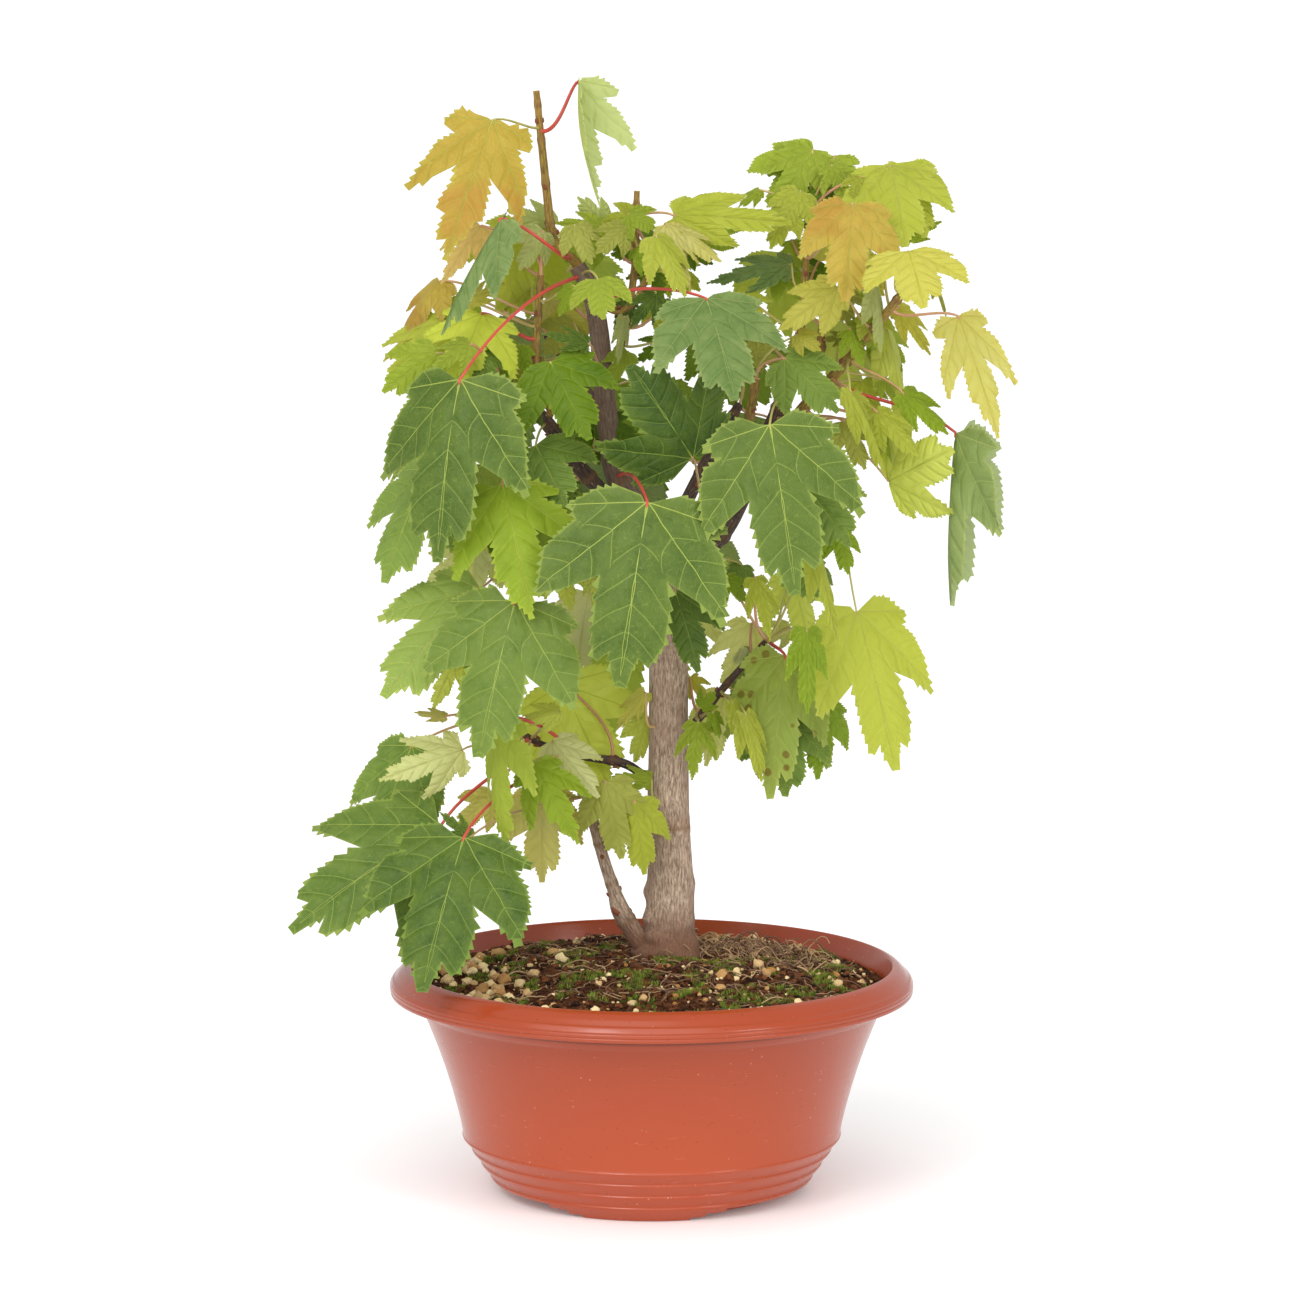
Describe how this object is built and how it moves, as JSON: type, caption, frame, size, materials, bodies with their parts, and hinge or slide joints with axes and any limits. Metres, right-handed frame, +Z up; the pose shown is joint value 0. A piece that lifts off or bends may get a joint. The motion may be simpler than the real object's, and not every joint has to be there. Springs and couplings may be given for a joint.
{
  "type": "potted maple bonsai tree",
  "caption": "Young maple bonsai with a straight trunk, cut twigs and five-lobed toothed leaves, in a round plastic bowl with a rolled rim, low rings and feet.",
  "frame": {"origin": "the bowl's axis where its feet stand, which is the middle of the footprint", "axes": "+Z up along the bowl's axis, +X to the right and -Y to the front as it is displayed"},
  "size_m": [0.3412, 0.25, 0.5313],
  "materials": {
    "terracotta_plastic": "satin moulded plastic, glossier on the rim",
    "soil": "damp gritty substrate with moss and tan grains",
    "bark": "grey-brown finely streaked bark",
    "dark_bark": "dark brown young bark",
    "green_bark": "smooth olive to orange shoots with pale cut ends",
    "leaf_dark": "matte mature leaf with pale veins",
    "leaf_green": "matte leaf with pale veins",
    "leaf_lime": "thin bright young leaf",
    "leaf_yellow": "thin pale young leaf",
    "leaf_bronze": "thin young leaf turning bronze, yellow-green veins"
  },
  "bodies": {
    "root": {"bowl": "terracotta_plastic", "soil": "soil", "trunk": "bark", "side_stem": "bark", "left_branch": "dark_bark", "left_twig": "green_bark", "top_twig": "green_bark", "centre_twig": "green_bark", "thin_twig": "green_bark", "right_branch": "dark_bark", "green_stub": "green_bark", "right_upper_twig": "green_bark", "right_middle_twig": "green_bark", "right_short_twig": "green_bark", "lower_right_twig": "dark_bark", "lower_left_twig": "dark_bark", "back_left_branch": "dark_bark", "back_right_branch": "dark_bark", "back_low_twig": "dark_bark", "leaf_low_left_front": "leaf_dark", "leaf_low_left_outer": "leaf_dark", "leaf_low_left_round": "leaf_green", "leaf_low_left_pale": "leaf_yellow", "leaf_hanging_lime": "leaf_lime", "leaf_crinkled": "leaf_green", "leaf_low_centre": "leaf_lime", "leaf_left_front": "leaf_green", "leaf_left_behind": "leaf_green", "leaf_front": "leaf_dark", "leaf_under_front": "leaf_dark", "leaf_upper_left": "leaf_dark", "leaf_left_lime": "leaf_lime", "leaf_left_edge": "leaf_green", "leaf_left_inner": "leaf_green", "leaf_left_small": "leaf_green", "leaf_left_yellow": "leaf_lime", "leaf_left_dark_fold": "leaf_dark", "leaf_top_bronze": "leaf_bronze", "leaf_top_pale": "leaf_yellow", "leaf_top_small": "leaf_lime", "leaf_top_pink": "leaf_yellow", "leaf_top_flat": "leaf_lime", "leaf_upper_centre": "leaf_dark", "leaf_inner_dark": "leaf_dark", "leaf_right_front": "leaf_green", "leaf_right_inner": "leaf_dark", "leaf_right_bronze": "leaf_bronze", "leaf_right_top": "leaf_lime", "leaf_right_crown": "leaf_lime", "leaf_right_yellow_top": "leaf_yellow", "leaf_far_right_yellow": "leaf_yellow", "leaf_far_right_fold": "leaf_green", "leaf_right_point": "leaf_lime", "leaf_right_hanging": "leaf_yellow", "leaf_low_right_spotted": "leaf_lime", "leaf_back_left_top": "leaf_green", "leaf_back_left_edge": "leaf_lime", "leaf_back_centre": "leaf_green", "leaf_back_right": "leaf_green", "leaf_back_low": "leaf_lime"}
  },
  "joints": []
}
